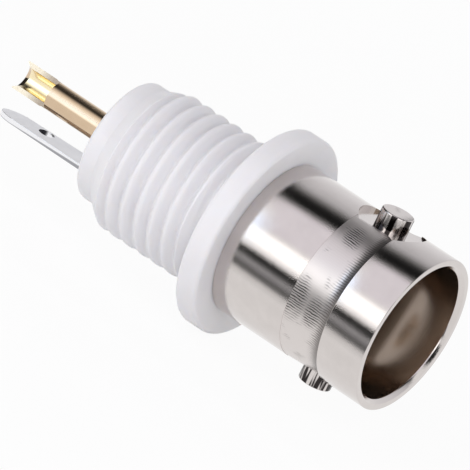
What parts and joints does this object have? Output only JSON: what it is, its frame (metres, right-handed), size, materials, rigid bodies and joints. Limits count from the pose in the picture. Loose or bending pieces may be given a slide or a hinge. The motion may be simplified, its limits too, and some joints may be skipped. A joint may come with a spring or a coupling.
{
  "type": "panel mount coaxial jack",
  "caption": "Insulated panel mount coaxial jack: bayonet barrel with side lugs, flanged threaded bushing, slotted centre contact and rear solder tag.",
  "frame": {"origin": "centre of the flange's rear face, the plane of the panel it seats on", "axes": "+X along the jack towards the mating plug, +Z through the upper bayonet lug, with the solder tag on the -Z side"},
  "size_m": [0.0285, 0.0124, 0.0124],
  "materials": {
    "shell_plating": "polished nickel plate on brass, with a matt milled band",
    "white_moulding": "soft white moulded plastic",
    "dielectric": "turned white fluoroplastic",
    "contact_gold": "gold plate on brass",
    "tag_tin": "dull tin plate on brass sheet"
  },
  "bodies": {
    "root": {"jack_shell": "shell_plating", "insulating_bushing": "white_moulding", "front_insulator": "dielectric", "rear_insulator": "dielectric", "rear_ferrule": "shell_plating", "centre_contact": "contact_gold", "solder_tag": "tag_tin"}
  },
  "joints": []
}
